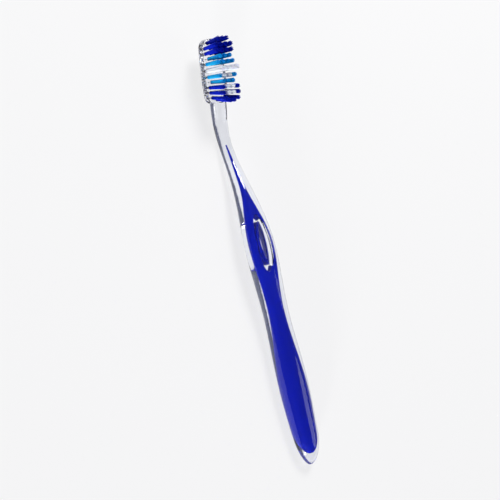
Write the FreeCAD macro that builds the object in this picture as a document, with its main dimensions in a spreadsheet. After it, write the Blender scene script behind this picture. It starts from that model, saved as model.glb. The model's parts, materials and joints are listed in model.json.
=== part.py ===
# A manual toothbrush that lies on its back with its tufts up: a clear moulded body round a blue core, and
# tufts that are folded over metal anchors in the head. X runs from the butt to the toe, Z is up.
import FreeCAD, Part
import os
import re
from collections import namedtuple

import Sketcher

# Millimetres and degrees. A section of the handle has a width, a thickness and the height of its back.
sizes = {
    # along the handle, from the butt end to the middle of the tuft field
    "butt_to_tail": 16.0,
    "tail_to_grip": 20.0,
    "grip_to_waist": 33.0,
    "waist_to_eye": 29.0,
    "eye_to_shoulder": 16.0,
    "shoulder_to_throat": 12.0,
    "throat_to_neck": 17.0,
    "neck_to_collar": 12.0,
    "collar_to_field": 21.4,
    # oval sections of the clear body
    "butt_height": 2.4,
    "butt_point": 1.15,
    "tail_width": 12.4,
    "tail_thickness": 9.8,
    "tail_back": -0.55,
    "grip_width": 14.0,
    "grip_thickness": 11.1,
    "grip_back": -0.35,
    "waist_width": 12.2,
    "waist_thickness": 9.6,
    "waist_back": 1.6,
    "eye_width": 14.5,
    "eye_thickness": 10.6,
    "eye_back": 2.3,
    "shoulder_width": 11.2,
    "shoulder_thickness": 8.7,
    "shoulder_back": 2.8,
    "throat_width": 8.1,
    "throat_thickness": 6.4,
    "throat_back": 2.3,
    "neck_width": 6.2,
    "neck_thickness": 4.8,
    "neck_back": -0.05,
    "collar_width": 7.2,
    "collar_thickness": 5.6,
    "collar_back": 0.2,
    "root_width": 8.0,
    "root_thickness": 5.4,
    "root_reach": 10.5,
    "root_inset": 0.3,
    # eye through the handle, and the clear wall between it and the core
    "hole_length": 20.0,
    "hole_width": 4.4,
    "hole_flare": 1.4,
    "hole_lining": 0.4,
    "hole_end_lining": 2.6,
    # blue core
    "core_end_cover": 5.4,
    "core_tail_width": 8.2,
    "core_tail_thickness": 6.6,
    "core_grip_width": 9.2,
    "core_grip_thickness": 7.4,
    "core_waist_width": 5.6,
    "core_waist_thickness": 4.4,
    "core_strand_width": 2.3,
    "core_eye_thickness": 3.8,
    "core_shoulder_width": 4.6,
    "core_shoulder_thickness": 3.6,
    "core_throat_width": 1.7,
    "core_throat_thickness": 1.4,
    "core_tip_width": 0.5,
    "core_tip_thickness": 0.45,
    "core_tip_reach": 1.0,
    # head plate, measured from the middle of the tuft field on its front face
    "field_height": 9.3,
    "head_tilt": 12.0,
    "head_thickness": 4.2,
    "toe_width": 9.1,
    "heel_width": 10.4,
    "side_radius": 150.0,
    "toe_reach": 13.8,
    "heel_reach": 14.5,
    "toe_radius": 4.2,
    "heel_radius": 3.6,
    "back_radius": 1.3,
    "front_radius": 0.3,
    "face_reach": 23.0,
    "face_step_radius": 2.6,
    # tufts
    "row_pitch": 2.26,
    "crest_gap": 2.78,
    "column_pitch": 2.58,
    "end_pitch": 2.15,
    "heel_bow": 0.9,
    "fan_angle": 6.5,
    "hole_diameter": 1.7,
    "crest_diameter": 2.15,
    "hole_depth": 3.1,
    "tuft_clearance": 0.04,
    "tuft_flare": 0.12,
    "tip_rounding": 0.45,
    "toe_bristle": 9.3,
    "wing_bristle": 9.4,
    "crest_bristle": 11.8,
    "heel_bristle": 10.6,
    # anchors across the tuft holes
    "anchor_thickness": 0.25,
    "anchor_bite": 0.2,
    "anchor_height": 1.5,
    "anchor_seat": 0.5,
}

# The tuft rows from the toe to the heel. A row has its number of tufts and the sizes that give its bristle
# length, its holes, the distance of its columns and how far its inner tufts are out towards the head's end.
Row = namedtuple("Row", "tufts bristle hole pitch bow", defaults=("hole_diameter", "column_pitch", "0"))
tuft_rows = [
    Row(3, "toe_bristle", pitch="end_pitch"),
    Row(4, "toe_bristle"),
    Row(4, "toe_bristle"),
    Row(3, "wing_bristle"),
    Row(4, "wing_bristle"),
    Row(4, "crest_bristle", hole="crest_diameter"),
    Row(4, "wing_bristle"),
    Row(3, "wing_bristle"),
    Row(4, "heel_bristle"),
    Row(4, "heel_bristle"),
    Row(4, "heel_bristle", pitch="end_pitch", bow="heel_bow"),
]
Tuft = namedtuple("Tuft", "name along offset lean hole bristle")
middle_row = len(tuft_rows) // 2

# A round end is a stack of ovals at these angles of a quarter turn from its tip.
round_end_angles = (10, 25, 42, 62)

# Sections of the core's needle between the throat and its tip.
needle_rings = 5

# Room that a cutting tool has past the surface that it cuts.
tool_margin = 3.0

# How near a point is to a plane that it is on.
on_plane = 1e-6

doc = FreeCAD.newDocument("Toothbrush")
sheet = doc.addObject("Spreadsheet::Sheet", "Sizes")
for line, (name, size) in enumerate(sizes.items(), start=1):
    sheet.set(f"A{line}", name)
    sheet.set(f"B{line}", str(size))
    sheet.setAlias(f"B{line}", name)
doc.recompute()


def cells(text):
    """The text with each size's name as its cell in the sheet."""
    return re.sub(r"[a-z_]+", lambda word: f"Sizes.{word[0]}" if word[0] in sizes else word[0], text)


def bind(item, **texts):
    """Binds properties of an object to formulas of sizes. A double underscore in a name is a dot."""
    for name, text in texts.items():
        item.setExpression(name.replace("__", "."), cells(str(text)))


# Distances of the sections from the butt end, and of the part's middle, where the origin is.
steps = [name for name in sizes if "_to_" in name]
station = {step.split("_to_")[1]: " + ".join(steps[: i + 1]) for i, step in enumerate(steps)}
middle = f"({station['field']} + toe_reach * cos(head_tilt)) / 2"
field_x = f"({station['field']}) - {middle}"
section_names = ("tail", "grip", "waist", "eye", "shoulder", "throat", "neck", "collar")


def centre_height(name):
    """The height of the middle of a section of the handle."""
    return f"({name}_back + {name}_thickness / 2)"


# Sections stand across X with their width along Y.
across = FreeCAD.Rotation(FreeCAD.Vector(1, 1, 1), 120)


def oval(name, distance, width, thickness, height):
    """An oval section at a distance from the butt end."""
    ring = doc.addObject("Part::Ellipse", name)
    ring.Placement.Rotation = across
    bind(ring, MajorRadius=f"({width}) / 2", MinorRadius=f"({thickness}) / 2")
    bind(ring, Placement__Base__x=f"{distance} - {middle}", Placement__Base__z=height)
    return ring


def round_end(name, start, length, width, thickness, tip_height, height, point="1"):
    """Ovals that grow from a round tip to a full section, over a length from a start."""
    rings = []
    for angle in round_end_angles:
        share = f"sin({angle}) ^ ({point})"
        rings.append(
            oval(
                f"{name}_{angle}",
                f"{start} + ({length}) * (1 - cos({angle}))",
                f"{width} * {share}",
                f"{thickness} * {share}",
                f"{tip_height} + ({height} - {tip_height}) * {share}",
            )
        )
    return rings


def loft(name, rings):
    """A smooth solid through oval sections."""
    solid = doc.addObject("Part::Loft", name)
    solid.Sections = rings
    solid.Solid = True
    return solid


def cut(name, base, tool):
    """One solid less another."""
    result = doc.addObject("Part::Cut", name)
    result.Base = base
    result.Tool = tool
    return result


def parted(name, solid, distance):
    """The same solid with its long face parted at a distance from the butt end, so that it meshes evenly."""
    front = doc.addObject("Part::Box", f"{name}_front")
    bind(front, Length=f"2 * {middle}", Width="2 * grip_width", Height="2 * grip_thickness")
    bind(front, Placement__Base__x=f"{distance} - {middle}", Placement__Base__y="-grip_width",
         Placement__Base__z="-grip_thickness / 2")
    front_half = doc.addObject("Part::Common", f"{name}_front_half")
    front_half.Base = solid
    front_half.Tool = front
    result = doc.addObject("Part::Fuse", name)
    result.Base = front_half
    result.Tool = cut(f"{name}_back_half", solid, front)
    result.Refine = False
    return result


def origin_plane(body, role):
    """One of a body's own origin planes."""
    return [feature for feature in body.Origin.OriginFeatures if feature.Role == role][0]


def sketch_on(body, name, role):
    """An empty sketch on one of a body's origin planes."""
    sketch = body.newObject("Sketcher::SketchObject", name)
    sketch.AttachmentSupport = (origin_plane(body, role), [""])
    sketch.MapMode = "FlatFace"
    return sketch


def value(text):
    """What a formula of sizes comes to, for a sketch's first guess."""
    probe = doc.addObject("App::FeaturePython", "probe")
    probe.addProperty("App::PropertyFloat", "result")
    bind(probe, result=text)
    probe.recompute()
    result = probe.result
    doc.removeObject(probe.Name)
    return result


def place_corner(sketch, edge, x_text, y_text):
    """Binds the start of a sketch's edge to a place measured from the sketch's origin."""
    for kind, text in (("DistanceX", x_text), ("DistanceY", y_text)):
        if text == "0":
            axis = {"DistanceX": -2, "DistanceY": -1}[kind]
            sketch.addConstraint(Sketcher.Constraint("PointOnObject", edge, 1, axis))
            continue
        number = sketch.addConstraint(Sketcher.Constraint(kind, -1, 1, edge, 1, value(text)))
        bind(sketch, **{f"Constraints[{number}]": text})


def polygon(body, name, role, corners, arcs={}):
    """A closed outline through corners, given as formulas. An edge in arcs is round, with its radius."""
    sketch = sketch_on(body, name, role)
    points = [FreeCAD.Vector(value(x), value(y), 0) for x, y in corners]
    for i, start in enumerate(points):
        end = points[(i + 1) % len(points)]
        edge = Part.LineSegment(start, end)
        if i in arcs:
            chord = end - start
            rise = chord.Length**2 / (8 * value(arcs[i]))
            outward = FreeCAD.Vector(chord.y, -chord.x, 0).normalize()
            edge = Part.Arc(start, (start + end) / 2 + outward * rise, end)
        sketch.addGeometry(edge, False)
    # An arc that bulges out of an outline drawn anticlockwise starts where its edge does.
    for i in range(len(points)):
        sketch.addConstraint(Sketcher.Constraint("Coincident", i, 2, (i + 1) % len(points), 1))
    for i, (x_text, y_text) in enumerate(corners):
        place_corner(sketch, i, x_text, y_text)
    for i, radius in arcs.items():
        number = sketch.addConstraint(Sketcher.Constraint("Radius", i, value(radius)))
        bind(sketch, **{f"Constraints[{number}]": radius})
    return sketch


def pad(body, name, sketch, length, symmetric=False, reverse=False):
    """A sketch drawn out to a length."""
    solid = body.newObject("PartDesign::Pad", name)
    solid.Profile = sketch
    solid.SideType = "Symmetric" if symmetric else "One side"
    solid.Reversed = reverse
    bind(solid, Length=length)
    doc.recompute()
    return solid


def round_edges(body, name, base, radius, wanted):
    """A fillet on the edges of a body whose middle passes a test."""
    edges = []
    for i, edge in enumerate(base.Shape.Edges, start=1):
        first, last = edge.ParameterRange
        if wanted(edge.valueAt((first + last) / 2), edge):
            edges.append(f"Edge{i}")
    fillet = body.newObject("PartDesign::Fillet", name)
    fillet.Base = (base, edges)
    bind(fillet, Radius=radius)
    doc.recompute()
    return fillet


def set_on_head(item, along="0", across_head="0", depth="0", lean="0", beside="0"):
    """Sets an object in the head's frame: along the head, across it, below its face, and turned by a lean."""
    item.Placement.Rotation = FreeCAD.Rotation(FreeCAD.Vector(0, 1, 0), 1)
    turn = f"(head_tilt - ({lean}))"
    # A place below the face is reached along the leaning axis, and one beside it square to that axis.
    x = f"{field_x} + ({along}) * cos(head_tilt) + ({depth}) * sin({turn}) + ({beside}) * cos({turn})"
    z = f"field_height + ({along}) * sin(head_tilt) - ({depth}) * cos({turn}) + ({beside}) * sin({turn})"
    bind(item, Placement__Base__x=x, Placement__Base__y=across_head, Placement__Base__z=z)
    bind(item, Placement__Rotation__Angle=f"-{turn}")


def handle_form():
    """Handle and neck as one smooth form through oval sections, with its end inside the head plate."""
    tail_height = centre_height("tail")
    rings = round_end(
        "butt", "0", "butt_to_tail", "tail_width", "tail_thickness", "butt_height", tail_height, "butt_point"
    )
    for name in section_names:
        rings.append(oval(name, station[name], f"{name}_width", f"{name}_thickness", centre_height(name)))
    plate_back = "field_height - root_reach * sin(head_tilt) - head_thickness / cos(head_tilt)"
    root_distance = f"{station['field']} - root_reach * cos(head_tilt)"
    root_height = f"{plate_back} + root_inset + root_thickness / 2"
    rings.append(oval("root", root_distance, "root_width", "root_thickness", root_height))
    return loft("handle_form", rings)


def face_cutter():
    """What the head's flat face takes off the neck, with a round step where the face ends."""
    body = doc.addObject("PartDesign::Body", "face_cutter")
    rise = "root_thickness"
    outline = [("-face_reach", "0"), ("toe_reach", "0"), ("toe_reach", rise), ("-face_reach", rise)]
    sketch = polygon(body, "face_outline", "XZ_Plane", outline)
    block = pad(body, "face_block", sketch, f"heel_width + {tool_margin}", symmetric=True)
    reach = value("face_reach")
    round_edges(body, "face_step", block, "face_step_radius",
                lambda point, edge: abs(point.x + reach) < on_plane and abs(point.z) < on_plane)
    set_on_head(body)
    return body


def head_plate():
    """The head: a plate with bowed sides, round corners at toe and heel and a rounded back."""
    body = doc.addObject("PartDesign::Body", "head_plate")
    outline = [
        ("-heel_reach", "-heel_width / 2"),
        ("toe_reach", "-toe_width / 2"),
        ("toe_reach", "toe_width / 2"),
        ("-heel_reach", "heel_width / 2"),
    ]
    sketch = polygon(body, "head_outline", "XY_Plane", outline, {0: "side_radius", 2: "side_radius"})
    plate = pad(body, "plate", sketch, "head_thickness", reverse=True)
    depth = value("head_thickness")

    def upright(point, edge):
        return abs(point.z + depth / 2) < on_plane

    toe = round_edges(body, "toe_corners", plate, "toe_radius", lambda p, e: upright(p, e) and p.x > 0)
    heel = round_edges(body, "heel_corners", toe, "heel_radius",
                       lambda p, e: upright(p, e) and p.x < 0 and e.Curve.TypeId == "Part::GeomLine")
    back = round_edges(body, "back_edge", heel, "back_radius", lambda p, e: abs(p.z + depth) < on_plane)
    round_edges(body, "front_edge", back, "front_radius", lambda p, e: abs(p.z) < on_plane)
    set_on_head(body)
    return body


def table_cutter():
    """All that is below the flat that the brush lies on."""
    block = doc.addObject("Part::Box", "table_cutter")
    bind(block, Length=f"2 * {middle}", Width="2 * grip_width", Height="head_thickness")
    bind(block, Placement__Base__x=f"-{middle}", Placement__Base__y="-grip_width",
         Placement__Base__z="-head_thickness")
    return block


def eye_ring(name, length, width, height):
    """A level oval in the middle of the eye."""
    ring = doc.addObject("Part::Ellipse", name)
    bind(ring, MajorRadius=f"({length}) / 2", MinorRadius=f"({width}) / 2")
    bind(ring, Placement__Base__x=f"{station['eye']} - {middle}", Placement__Base__z=height)
    return ring


def eye_hole():
    """What the eye takes out of the handle: narrowest at half its depth and wider past both faces."""
    rings = []
    for level in (-1, 0, 1):
        flare = f"2 * hole_flare * {abs(level)}"
        height = f"{centre_height('eye')} + {level} * (eye_thickness / 2 + {tool_margin})"
        name = f"eye_ring_{level + 1}"
        rings.append(eye_ring(name, f"hole_length + {flare}", f"hole_width + {flare}", height))
    return loft("eye_hole", rings)


def core_opening():
    """What the clear wall round the eye takes out of the core."""
    length = "hole_length + 2 * hole_end_lining"
    bar = doc.addObject("Part::Extrusion", "core_opening")
    bar.Base = eye_ring("core_ring", length, "hole_width + 2 * hole_lining", "eye_back")
    bar.DirMode = "Custom"
    bar.Dir = FreeCAD.Vector(0, 0, 1)
    bar.Solid = True
    bind(bar, LengthFwd="eye_thickness")
    return bar


def blue_core():
    """The core inside the handle: round at the butt, split in two at the eye, a needle in the neck."""
    eye_width = "hole_width + 2 * (hole_lining + core_strand_width)"
    height = centre_height("tail")
    end_length = "butt_to_tail - core_end_cover"
    rings = round_end(
        "core_end", "core_end_cover", end_length, "core_tail_width", "core_tail_thickness", height, height
    )
    for name in ("tail", "grip", "waist", "eye", "shoulder", "throat"):
        width = f"({eye_width})" if name == "eye" else f"core_{name}_width"
        thickness = f"core_{name}_thickness"
        rings.append(oval(f"core_{name}", station[name], width, thickness, centre_height(name)))
    # Close sections keep the needle from bulging on its way to the tip.
    start_height = centre_height("throat")
    needle_length = f"({station['neck']} + core_tip_reach - ({station['throat']}))"
    for i in range(1, needle_rings + 1):
        share = f"{i} / {needle_rings}"
        rings.append(
            oval(
                f"core_needle_{i}",
                f"{station['throat']} + {needle_length} * {share}",
                f"core_throat_width + (core_tip_width - core_throat_width) * {share}",
                f"core_throat_thickness + (core_tip_thickness - core_throat_thickness) * {share}",
                f"{start_height} + ({centre_height('neck')} - {start_height}) * {share}",
            )
        )
    blank = loft("core_form", rings)
    split = cut("core_with_eye", blank, core_opening())
    return parted("blue_core", split, f"{station['grip']} + grip_to_waist / 2")


def tuft_places():
    """Every tuft, with the formulas of its place along and across the head and of its lean."""
    for i, row in enumerate(tuft_rows):
        step = middle_row - i
        side = (step > 0) - (step < 0)
        row_place = f"{side} * (crest_gap + {abs(step) - 1} * row_pitch)"
        lean = f"fan_angle * {step} / {middle_row}"
        for column in range(row.tufts):
            inner = 0 < column < row.tufts - 1
            along = f"{row_place} + {side} * {row.bow}" if inner else row_place
            offset = f"{column - (row.tufts - 1) / 2} * {row.pitch}"
            yield Tuft(f"{i + 1:02d}{'abcd'[column]}", along, offset, lean, row.hole, row.bristle)


def tuft_hole(place):
    """The round hole that a tuft is pressed into."""
    drill = doc.addObject("Part::Cylinder", f"hole_{place.name}")
    bind(drill, Radius=f"{place.hole} / 2", Height=f"hole_depth + {tool_margin}")
    set_on_head(drill, place.along, place.offset, "hole_depth", place.lean)
    return drill


def anchor_width(place):
    """The width of an anchor, which bites into the wall of its hole at both ends."""
    return f"({place.hole} + 2 * anchor_bite)"


def anchor(place):
    """The metal plate across a tuft hole."""
    plate = doc.addObject("Part::Box", f"anchor_{place.name}")
    width = anchor_width(place)
    bind(plate, Length="anchor_thickness", Width=width, Height="anchor_height")
    # A box is placed by its corner, which is half its thickness beside the hole's axis.
    set_on_head(plate, place.along, f"{place.offset} - {width} / 2", "hole_depth - anchor_seat", place.lean,
                "-anchor_thickness / 2")
    return plate


def tuft(place):
    """A bundle of bristles that fills its hole, opens a little to its tip and holds the anchor in a slot."""
    name = place.name
    body = doc.addObject("PartDesign::Body", f"tuft_{name}")
    root = f"({place.hole} / 2 - tuft_clearance)"
    tip = f"({root} + tuft_flare)"
    outline = [
        ("0", "0"),
        (root, "0"),
        (root, "hole_depth"),
        (tip, f"hole_depth + {place.bristle} - tip_rounding"),
        (f"{tip} - tip_rounding", f"hole_depth + {place.bristle}"),
        ("0", f"hole_depth + {place.bristle}"),
    ]
    profile = polygon(body, f"bundle_outline_{name}", "XZ_Plane", outline)
    bundle = body.newObject("PartDesign::Revolution", f"bundle_{name}")
    bundle.Profile = profile
    bundle.ReferenceAxis = (profile, ["V_Axis"])
    doc.recompute()
    half = "anchor_thickness / 2"
    top = "anchor_seat + anchor_height"
    slot_outline = [(f"-{half}", "anchor_seat"), (half, "anchor_seat"), (half, top), (f"-{half}", top)]
    slot = body.newObject("PartDesign::Pocket", f"slot_{name}")
    slot.Profile = polygon(body, f"slot_outline_{name}", "XZ_Plane", slot_outline)
    slot.SideType = "Symmetric"
    bind(slot, Length=anchor_width(place))
    doc.recompute()
    if not slot.Shape.Volume < bundle.Shape.Volume:
        raise RuntimeError(f"the slot of tuft {name} takes nothing away")
    set_on_head(body, place.along, place.offset, "hole_depth", place.lean)
    return body


def clear_body(core, holes, anchors):
    """Handle, neck and head in one clear moulding, with the room for the core, the tufts and the anchors."""
    trimmed = cut("neck_with_face", handle_form(), face_cutter())
    whole = doc.addObject("Part::MultiFuse", "body_blank")
    whole.Shapes = [trimmed, head_plate()]
    whole.Refine = True
    flat = cut("body_on_table", whole, table_cutter())
    with_eye = cut("body_with_eye", flat, eye_hole())
    hollow = cut("body_round_core", with_eye, core)
    drilled = cut("body_with_holes", hollow, holes)
    return cut("clear_body", drilled, anchors)


def group(name, items):
    """Separate solids kept together."""
    compound = doc.addObject("Part::Compound", name)
    compound.Links = items
    return compound


places = list(tuft_places())
core_part = blue_core()
anchor_part = group("tuft_anchors", [anchor(place) for place in places])
hole_group = group("tuft_holes", [tuft_hole(place) for place in places])
sub_parts = [clear_body(core_part, hole_group, anchor_part), core_part, anchor_part]
sub_parts += [tuft(place) for place in places]
doc.recompute()

for item in doc.Objects:
    if "Invalid" in item.State or "Error" in item.State:
        raise RuntimeError(f"{item.Label} failed: {item.State}")
for part in sub_parts:
    if part.Shape.isNull() or not part.Shape.isValid():
        raise RuntimeError(f"{part.Label} has no valid shape")

os.makedirs("parts", exist_ok=True)
for part in sub_parts:
    part.Shape.exportStep(f"parts/{part.Label}.step")
    print(f"{part.Label}: {len(part.Shape.Solids)} solids, {part.Shape.Volume:.2f} mm3")
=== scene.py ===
import json
import math
import random

import bmesh
import bpy
import numpy as np
from mathutils import Matrix, Vector

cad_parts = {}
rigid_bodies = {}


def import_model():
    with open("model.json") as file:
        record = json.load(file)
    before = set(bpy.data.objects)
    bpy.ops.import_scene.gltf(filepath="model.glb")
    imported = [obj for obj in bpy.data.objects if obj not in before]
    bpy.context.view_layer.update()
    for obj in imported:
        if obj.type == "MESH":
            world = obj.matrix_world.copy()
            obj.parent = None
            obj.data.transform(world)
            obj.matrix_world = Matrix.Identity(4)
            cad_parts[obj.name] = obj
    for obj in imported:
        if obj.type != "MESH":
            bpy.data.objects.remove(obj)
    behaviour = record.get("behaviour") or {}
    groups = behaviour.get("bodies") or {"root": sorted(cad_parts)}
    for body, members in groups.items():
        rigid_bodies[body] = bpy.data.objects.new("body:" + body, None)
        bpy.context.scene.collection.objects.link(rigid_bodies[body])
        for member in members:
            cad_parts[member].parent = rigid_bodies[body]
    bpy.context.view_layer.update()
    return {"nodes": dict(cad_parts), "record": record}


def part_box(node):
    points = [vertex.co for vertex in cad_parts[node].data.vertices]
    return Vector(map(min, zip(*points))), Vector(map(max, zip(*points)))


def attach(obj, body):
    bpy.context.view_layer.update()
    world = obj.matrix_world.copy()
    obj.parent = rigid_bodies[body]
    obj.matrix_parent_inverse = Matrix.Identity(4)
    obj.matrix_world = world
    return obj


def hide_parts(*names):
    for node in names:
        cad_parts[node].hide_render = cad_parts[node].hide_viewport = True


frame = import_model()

nodes = frame["nodes"]
scene = bpy.context.scene


def linkPiece(name, mesh, slotName, replaced):
    piece = bpy.data.objects.new(name, mesh)
    scene.collection.objects.link(piece)
    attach(piece, "root")
    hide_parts(*replaced)
    return piece


# small helpers for materials, then one function for each finish
def newMaterial(name):
    material = bpy.data.materials.new(name)
    material.use_nodes = True
    tree = material.node_tree
    return material, tree, tree.nodes["Principled BSDF"]


def addNode(tree, kind, **values):
    node = tree.nodes.new(kind)
    for key, value in values.items():
        if key in node.inputs:
            node.inputs[key].default_value = value
        else:
            setattr(node, key, value)
    return node


def noiseOn(tree, scale, detail=3.0, stretch=(1, 1, 1)):
    place = addNode(tree, "ShaderNodeTexCoord")
    turn = addNode(tree, "ShaderNodeMapping", Scale=stretch)
    noise = addNode(tree, "ShaderNodeTexNoise", Scale=scale, Detail=detail)
    tree.links.new(place.outputs["Object"], turn.inputs["Vector"])
    tree.links.new(turn.outputs["Vector"], noise.inputs["Vector"])
    return noise.outputs["Fac"]


def spread(tree, source, low, high):
    ramp = addNode(tree, "ShaderNodeMapRange")
    ramp.inputs["To Min"].default_value = low
    ramp.inputs["To Max"].default_value = high
    tree.links.new(source, ramp.inputs["Value"])
    return ramp.outputs["Result"]


def bumpOn(tree, shader, source, strength, distance):
    bump = addNode(tree, "ShaderNodeBump", Strength=strength, Distance=distance)
    tree.links.new(source, bump.inputs["Height"])
    tree.links.new(bump.outputs["Normal"], shader.inputs["Normal"])


def tintOn(tree, shader, source, dark, light):
    ramp = addNode(tree, "ShaderNodeValToRGB")
    ramp.color_ramp.elements[0].color = (*dark, 1)
    ramp.color_ramp.elements[1].color = (*light, 1)
    tree.links.new(source, ramp.inputs["Fac"])
    tree.links.new(ramp.outputs["Color"], shader.inputs["Base Color"])


clearLook = {
    "tint": (0.94, 0.955, 1.0),
    "ior": 1.53,
    "wiping": {"scale": 900.0, "detail": 4.0, "stretch": (0.15, 1, 1)},  # fine marks along the handle
    "polish": (0.0, 0.05),  # roughness between and on the marks
    "ripple": {"scale": 90.0, "detail": 1.0},  # slow waves of the moulding
    "rippleBump": (0.04, 0.0004),  # strength and height
}


def clearPlastic():
    material, tree, shader = newMaterial("clearPlastic")
    shader.inputs["Base Color"].default_value = (*clearLook["tint"], 1)
    shader.inputs["Transmission Weight"].default_value = 1.0
    shader.inputs["IOR"].default_value = clearLook["ior"]
    wiping = noiseOn(tree, **clearLook["wiping"])
    tree.links.new(spread(tree, wiping, *clearLook["polish"]), shader.inputs["Roughness"])
    bumpOn(tree, shader, noiseOn(tree, **clearLook["ripple"]), *clearLook["rippleBump"])
    return material


coreLook = {
    "dark": (0.0003, 0.007, 0.43),
    "light": (0.0006, 0.013, 0.60),
    "clouds": {"scale": 40.0, "detail": 2.0, "stretch": (0.3, 1, 1)},
    "roughness": 0.5,
    "shine": 0.1,  # low, because the core is bonded to the clear plastic
    "grain": {"scale": 700.0},
    "grainBump": (0.05, 0.0001),
}


def coreBlue():
    material, tree, shader = newMaterial("coreBlue")
    tintOn(tree, shader, noiseOn(tree, **coreLook["clouds"]), coreLook["dark"], coreLook["light"])
    shader.inputs["Roughness"].default_value = coreLook["roughness"]
    shader.inputs["Specular IOR Level"].default_value = coreLook["shine"]
    bumpOn(tree, shader, noiseOn(tree, **coreLook["grain"]), *coreLook["grainBump"])
    return material


anchorLook = {
    "dark": (0.42, 0.30, 0.14),
    "light": (0.72, 0.56, 0.30),
    "rolling": {"scale": 3000.0, "detail": 4.0, "stretch": (1, 1, 0.1)},
    "roughness": (0.25, 0.45),
    "rollingBump": (0.1, 0.00005),
}


def anchorBrass():
    material, tree, shader = newMaterial("anchorBrass")
    rolling = noiseOn(tree, **anchorLook["rolling"])
    tintOn(tree, shader, rolling, anchorLook["dark"], anchorLook["light"])
    shader.inputs["Metallic"].default_value = 1.0
    tree.links.new(spread(tree, rolling, *anchorLook["roughness"]), shader.inputs["Roughness"])
    bumpOn(tree, shader, rolling, *anchorLook["rollingBump"])
    return material


bristleLook = {
    "colours": {
        "bristle_dark_blue": ("darkBlueNylon", (0.0002, 0.004, 0.24), (0.0005, 0.024, 0.85)),
        "bristle_light_blue": ("lightBlueNylon", (0.003, 0.32, 0.80), (0.02, 0.62, 1.0)),
        "bristle_white": ("whiteNylon", (0.82, 0.84, 0.90), (0.98, 0.98, 1.0)),
    },
    "roughness": 0.5,
    "shine": 0.06,
    "milky": 0.2,
    "milkyReach": (0.0002, 0.0003, 0.0005),
    "grain": {"scale": 2500.0},
    "grainBump": (0.08, 0.00004),
}


def bristleNylon(slotName):
    name, dark, light = bristleLook["colours"][slotName]
    material, tree, shader = newMaterial(name)
    # the ramp runs from dark to light by the filament's random tone and its painted shade at tip and
    # root
    shade = addNode(tree, "ShaderNodeAttribute", attribute_name="filamentToneAndPaintedShade")
    tintOn(tree, shader, shade.outputs["Fac"], dark, light)
    shader.inputs["Roughness"].default_value = bristleLook["roughness"]
    shader.inputs["Specular IOR Level"].default_value = bristleLook["shine"]
    shader.inputs["Subsurface Weight"].default_value = bristleLook["milky"]
    shader.inputs["Subsurface Radius"].default_value = bristleLook["milkyReach"]
    bumpOn(tree, shader, noiseOn(tree, **bristleLook["grain"]), *bristleLook["grainBump"])
    return material


# the clear body is the CAD skin without the hollow that the core fills
bodyLook = {"weld": 2e-6, "coreRoom": 1e-4, "sharp": 32.0}


def vertIslands(skin):
    left = set(skin.verts)
    while left:
        island, front = set(), [left.pop()]
        while front:
            vert = front.pop()
            island.add(vert)
            for edge in vert.link_edges:
                other = edge.other_vert(vert)
                if other in left:
                    left.discard(other)
                    front.append(other)
        yield island


def makeClearBody():
    mesh = nodes["clear_body"].data.copy()
    mesh.name = "clearBody"
    mesh.materials.clear()
    skin = bmesh.new()
    skin.from_mesh(mesh)
    bmesh.ops.remove_doubles(skin, verts=skin.verts, dist=bodyLook["weld"])
    coreLow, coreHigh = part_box("blue_core")
    room = bodyLook["coreRoom"]
    for island in list(vertIslands(skin)):
        if all(coreLow[i] - room < v.co[i] < coreHigh[i] + room for v in island for i in range(3)):
            bmesh.ops.delete(skin, geom=list(island), context="VERTS")
    skin.to_mesh(mesh)
    skin.free()
    for face in mesh.polygons:
        face.use_smooth = True
    if mesh.has_custom_normals:
        mesh.attributes.remove(mesh.attributes["custom_normal"])
    mesh.set_sharp_from_angle(angle=math.radians(bodyLook["sharp"]))
    mesh.materials.append(clearPlastic())
    return linkPiece("clearBody", mesh, "clear_plastic", ["clear_body"])


clearBody = makeClearBody()
print("clear body:", len(clearBody.data.polygons), "faces")

# core and anchors keep their CAD shapes
for nodeName, material in (("blue_core", coreBlue()), ("tuft_anchors", anchorBrass())):
    node = nodes[nodeName]
    node.data.materials.clear()
    node.data.materials.append(material)
print("core and anchors dressed")

# tufts are bundles of nylon filaments, in two halves round the anchor at the bottom of the hole
tuftLook = {
    "seed": 7,
    "filament": 0.000105,  # radius
    "sides": 6,
    "pitch": 2.12,  # distance of the filaments, in their radius
    "rowRise": 0.866,  # rows of a bundle lie this much of a pitch apart
    "rowReach": 9,
    "rootSlice": 1e-4,  # where the radius of the root is measured
    "foot": 0.00004,  # above the bottom of the hole
    "anchorTop": 0.0021,
    "joined": 0.0031,  # where the halves are together again
    "middles": (0.45, 0.75),  # rings between there and the tip, as shares of the length
    "tipRings": ((1.6, 1), (0.5, 0.82), (0, 0.35)),  # below the tip in filament radii, and size
    "gap": 0.00021,  # room for the anchor between the halves
    "squeeze": 0.55,  # how far a half is pressed together beside the anchor
    "lean": 0.00007,
    "short": 0.00008,  # the tips stay this much below the solid's
    "uneven": 0.00013,
    "splay": 1.1,  # the tips spread past the solid bundle
    "toeSplay": 1.3,  # the same for the first rows, which close up to one block
    "toeRows": ("01", "02", "03"),
    "splayRange": (0.96, 1.0),
    "shade": 0.62,
    "shadeRange": 0.12,
    "paintedTipShade": (0.5, 0.1),  # painted shade at the tips: how much darker, and over which share of the free length
    # painted shade at the roots: how much darker, and up to which share of the free length
    "paintedRootShade": (0.45, 0.12),
}


def tuftLine(node):
    points = np.array([v.co for v in node.data.vertices], float)
    middle = points.mean(0)
    axis = np.linalg.svd(points - middle)[2][0]
    axis = axis if axis[2] > 0 else -axis
    reach = (points - middle) @ axis
    around = np.linalg.norm(points - middle - np.outer(reach, axis), axis=1)
    low = around[reach < reach.min() + tuftLook["rootSlice"]].max()
    return middle + axis * reach.min(), axis, reach.max() - reach.min(), low, around.max()


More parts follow.
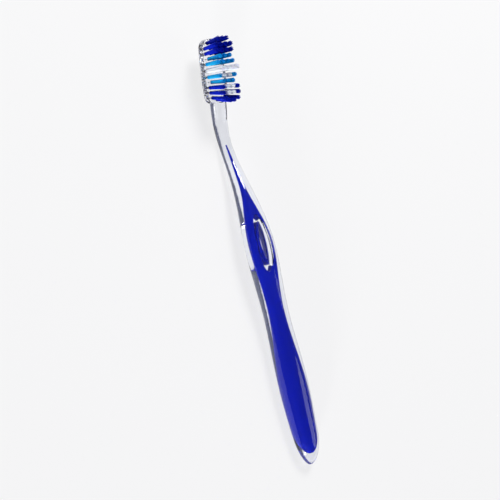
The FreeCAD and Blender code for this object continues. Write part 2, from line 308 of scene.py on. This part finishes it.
def bundlePlaces(radius, thick):
    step = tuftLook["pitch"] * thick
    span = range(-tuftLook["rowReach"], tuftLook["rowReach"] + 1)
    places = []
    for i in span:
        for j in span:
            x, y = step * (i + 0.5 * j), step * tuftLook["rowRise"] * j
            if math.hypot(x, y) <= radius - thick:
                places.append((x, y))
    return places


# each filament's random tone, with painted shade that darkens it towards the tip and at the root
def filamentToneAndPaintedShade(share, tone):
    tipDrop, tipPart = tuftLook["paintedTipShade"]
    rootDrop, rootPart = tuftLook["paintedRootShade"]
    shade = tuftLook["shade"] + tone
    shade -= tipDrop * max(0.0, share - (1 - tipPart)) / tipPart
    shade -= rootDrop * max(0.0, rootPart - share) / rootPart
    return min(1.0, max(0.0, shade))


def makeTuft(name, chance):
    root, axis, length, rootRadius, tipRadius = tuftLine(nodes[name])
    across = np.array([0.0, 1.0, 0.0])
    along = np.cross(across, axis)
    along /= np.linalg.norm(along)
    thick, sides, joined = tuftLook["filament"], tuftLook["sides"], tuftLook["joined"]
    splay = tuftLook["toeSplay" if name[5:7] in tuftLook["toeRows"] else "splay"]
    verts, faces, tonesAndPaintedShade = [], [], []
    for x, y in bundlePlaces(rootRadius, thick):
        grow = splay * tipRadius / rootRadius * chance.uniform(*tuftLook["splayRange"])
        drift = np.array([chance.gauss(0, 1), chance.gauss(0, 1)]) * tuftLook["lean"]
        top = length - tuftLook["short"] - abs(chance.gauss(0, 1)) * tuftLook["uneven"]
        tone = chance.uniform(-tuftLook["shadeRange"], tuftLook["shadeRange"])
        side = 1 if x >= 0 else -1
        rings = [(tuftLook["foot"], 1), (tuftLook["anchorTop"], 1), (joined, 1)]
        rings += [(share * length, 1) for share in tuftLook["middles"]]
        rings += [(top - below * thick, size) for below, size in tuftLook["tipRings"]]
        start = len(verts)
        for height, size in rings:
            share = max(0.0, (height - joined) / (length - joined))
            px = x * (1 + (grow - 1) * share) + drift[0] * share * share
            py = y * (1 + (grow - 1) * share) + drift[1] * share * share
            far = math.hypot(px, py)
            limit = splay * tipRadius * share + rootRadius * (1 - share) - thick
            if far > limit:
                px, py = px * limit / far, py * limit / far
            if height <= tuftLook["anchorTop"]:  # the halves stand off the anchor
                apart = max(abs(px), tuftLook["gap"] + tuftLook["squeeze"] * abs(px))
                px = side * min(apart, math.sqrt(max(limit * limit - py * py, 0.0)))
            for k in range(sides):
                turn = 2 * math.pi * k / sides
                dx, dy = px + size * thick * math.cos(turn), py + size * thick * math.sin(turn)
                verts.append(root + axis * height + along * dx + across * dy)
                tonesAndPaintedShade.append(filamentToneAndPaintedShade(share, tone))
        for r in range(len(rings) - 1):
            for k in range(sides):
                a, b = start + r * sides + k, start + r * sides + (k + 1) % sides
                faces.append((a, b, b + sides, a + sides))
        faces.append(tuple(start + k for k in reversed(range(sides))))
        faces.append(tuple(start + (len(rings) - 1) * sides + k for k in range(sides)))
    mesh = bpy.data.meshes.new(name + "Filaments")
    mesh.from_pydata([tuple(v) for v in verts], [], faces)
    layer = mesh.attributes.new("filamentToneAndPaintedShade", "FLOAT", "POINT")
    layer.data.foreach_set("value", tonesAndPaintedShade)
    for face in mesh.polygons:
        face.use_smooth = len(face.vertices) == 4
    slotName = slotOf[name]
    mesh.materials.append(nylons[slotName])
    return linkPiece("filaments_" + name[5:], mesh, slotName, [name])


slotOf = {part["node"]: part["material_slot"] for part in frame["record"]["subparts"]}
nylons = {slotName: bristleNylon(slotName) for slotName in bristleLook["colours"]}
chance = random.Random(tuftLook["seed"])
tuftNames = sorted(name for name in nodes if name.startswith("tuft_") and name != "tuft_anchors")
filamentFaces = sum(len(makeTuft(name, chance).data.polygons) for name in tuftNames)
print("tufts:", len(tuftNames), "bundles,", filamentFaces, "faces")

# a pale table that bends up to a low wall all round
stageLook = {
    "reach": 3.0,
    "bend": 0.5,  # radius of the bend from floor to wall
    "bendSteps": 8,
    "wall": 0.7,
    "around": 96,
    "hub": 0.001,
    "below": 0.00002,  # so that it doesn't meet the flats of the brush
    "seen": 0.939,
    "keepShadow": 0.2,
    "bounce": (0.89, 0.88, 0.86),
}


def paleTable():
    material, tree, shader = newMaterial("paleTable")
    tree.nodes.remove(shader)
    plain = addNode(tree, "ShaderNodeBsdfDiffuse", Color=(*stageLook["bounce"], 1))
    seen = stageLook["seen"]
    glow = addNode(tree, "ShaderNodeEmission", Color=(seen, seen, seen, 1), Strength=1.0)
    path = addNode(tree, "ShaderNodeLightPath")
    looked = path.outputs["Is Camera Ray"]
    for kind in ("Is Glossy Ray", "Is Transmission Ray"):
        either = addNode(tree, "ShaderNodeMath", operation="MAXIMUM")
        tree.links.new(looked, either.inputs[0])
        tree.links.new(path.outputs[kind], either.inputs[1])
        looked = either.outputs[0]
    share = addNode(tree, "ShaderNodeMath", operation="MULTIPLY")
    share.inputs[1].default_value = 1 - stageLook["keepShadow"]
    tree.links.new(looked, share.inputs[0])
    mix = addNode(tree, "ShaderNodeMixShader")
    tree.links.new(share.outputs[0], mix.inputs["Fac"])
    tree.links.new(plain.outputs[0], mix.inputs[1])
    tree.links.new(glow.outputs[0], mix.inputs[2])
    tree.links.new(mix.outputs[0], tree.nodes["Material Output"].inputs["Surface"])
    return material


def makeStage():
    reach, bend, steps = stageLook["reach"], stageLook["bend"], stageLook["bendSteps"]
    profile = [(stageLook["hub"], 0.0), (reach - bend, 0.0)]
    for k in range(1, steps + 1):
        turn = math.pi / 2 / steps * k
        profile.append((reach - bend + bend * math.sin(turn), bend - bend * math.cos(turn)))
    profile.append((reach, stageLook["wall"]))
    around = stageLook["around"]
    verts, faces = [], []
    for far, height in profile:
        for k in range(around):
            turn = 2 * math.pi * k / around
            verts.append((far * math.cos(turn), far * math.sin(turn), height - stageLook["below"]))
    for r in range(len(profile) - 1):
        for k in range(around):
            a, b = r * around + k, r * around + (k + 1) % around
            faces.append((a, b, b + around, a + around))
    faces.append(tuple(range(around)))
    mesh = bpy.data.meshes.new("table")
    mesh.from_pydata(verts, [], faces)
    mesh.materials.append(paleTable())
    table = bpy.data.objects.new("table", mesh)
    scene.collection.objects.link(table)


cameraLook = {
    "place": (-0.02110, 0.29599, 0.40840),
    "back": (-0.0457, 0.5861, 0.8089),
    "up": (0.9651, -0.1830, 0.1872),
    "lens": 82.695,
    "sensor": 36.0,
    "near": 0.01,
}


def makeCamera():
    back = Vector(cameraLook["back"]).normalized()
    right = Vector(cameraLook["up"]).cross(back).normalized()
    up = back.cross(right)
    data = bpy.data.cameras.new("camera")
    data.lens = cameraLook["lens"]
    data.sensor_width = cameraLook["sensor"]
    data.clip_start = cameraLook["near"]
    camera = bpy.data.objects.new("camera", data)
    scene.collection.objects.link(camera)
    turn = Matrix((right, up, back)).transposed().to_4x4()
    camera.matrix_world = Matrix.Translation(cameraLook["place"]) @ turn
    scene.camera = camera
    return right, up, back


lightLook = {
    "world": (0.08, 0.09, 0.16),
    "lamps": {  # place: camera's right, up and back, in metres
        "frontLamp": {"power": 10.9, "size": 0.4, "place": (0.42, 0.86, 0.40)},
        "lowLamp": {"power": 12.2, "size": 0.16, "place": (-0.2, -0.9, 0.52)},
        "sideLamp": {"power": 1.0, "size": 0.5, "place": (0.9, -0.1, 0.12)},
    },
}


def addLamp(name, place, power, size):
    data = bpy.data.lights.new(name, "AREA")
    data.shape = "DISK"
    data.energy = power
    data.size = size
    lamp = bpy.data.objects.new(name, data)
    scene.collection.objects.link(lamp)
    lamp.location = place
    lamp.rotation_euler = (-place).to_track_quat("-Z", "Y").to_euler()


def makeLight(axes):
    world = scene.world or bpy.data.worlds.new("studio")
    scene.world = world
    world.use_nodes = True
    sky = world.node_tree.nodes["Background"]
    sky.inputs["Color"].default_value = (*lightLook["world"], 1)
    sky.inputs["Strength"].default_value = 1.0
    for name, lamp in lightLook["lamps"].items():
        place = sum((axis * far for axis, far in zip(axes, lamp["place"])), Vector())
        addLamp(name, place, lamp["power"], lamp["size"])


makeStage()
makeLight(makeCamera())
scene.view_settings.view_transform = "Standard"
print("stage, light and camera set")
